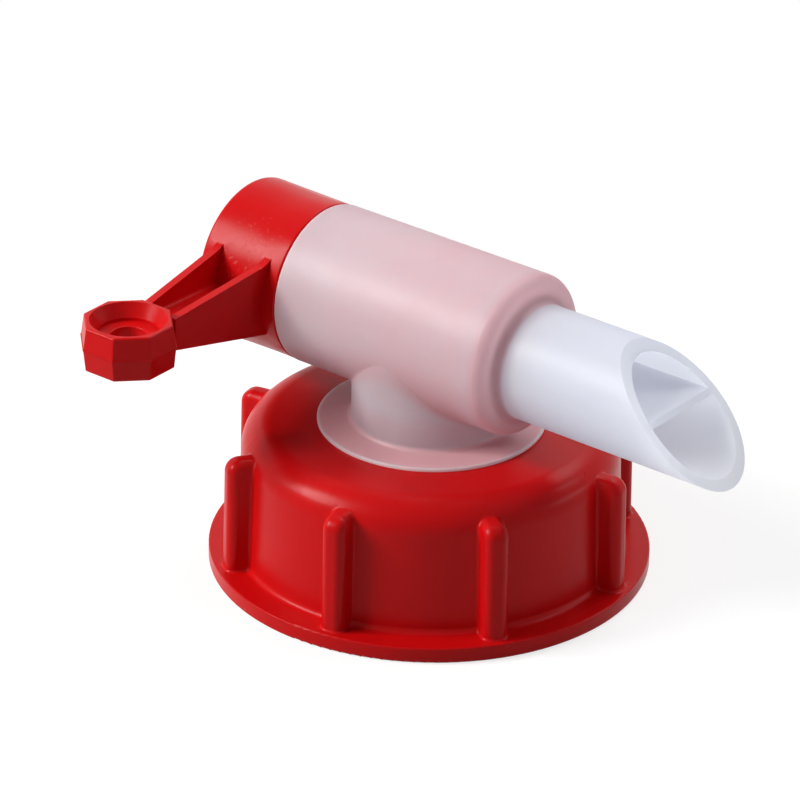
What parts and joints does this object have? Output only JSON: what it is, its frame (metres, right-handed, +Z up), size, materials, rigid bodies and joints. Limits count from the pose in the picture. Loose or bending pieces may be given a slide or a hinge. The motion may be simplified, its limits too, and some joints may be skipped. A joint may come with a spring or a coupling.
{
  "type": "intermediate bulk container tap",
  "caption": "Quarter-turn pouring tap on a ribbed screw cap: swivelling neck, cross barrel with slant-cut parted spout, and a ported plug turned by a lever with an octagonal knob.",
  "frame": {"origin": "centre of the screw cap's open rim, in the plane that the cap stands on", "axes": "+Z up the cap's axis, away from the container; +X along the barrel towards the spout's mouth; the lever points to -Y when the tap is shut"},
  "size_m": [0.1092, 0.0932, 0.0627],
  "materials": {
    "red_plastic": "semi-gloss moulded",
    "natural_plastic": "milky translucent, satin",
    "gasket": "matte"
  },
  "bodies": {
    "cap": {"screw_cap": "red_plastic"},
    "tap": {"tap_body": "natural_plastic", "clip_ring": "natural_plastic", "neck_gasket": "gasket"},
    "plug": {"plug_handle": "red_plastic"}
  },
  "joints": [
    {"name": "body_swivel", "type": "hinge", "parent": "cap", "child": "tap", "pos_m": [0, 0, 0.0279], "axis": [0, 0, 1], "continuous": true},
    {"name": "plug_turn", "type": "hinge", "parent": "tap", "child": "plug", "pos_m": [-0.025, 0, 0.0476], "axis": [-1, 0, 0], "range_deg": [0, 90]}
  ]
}
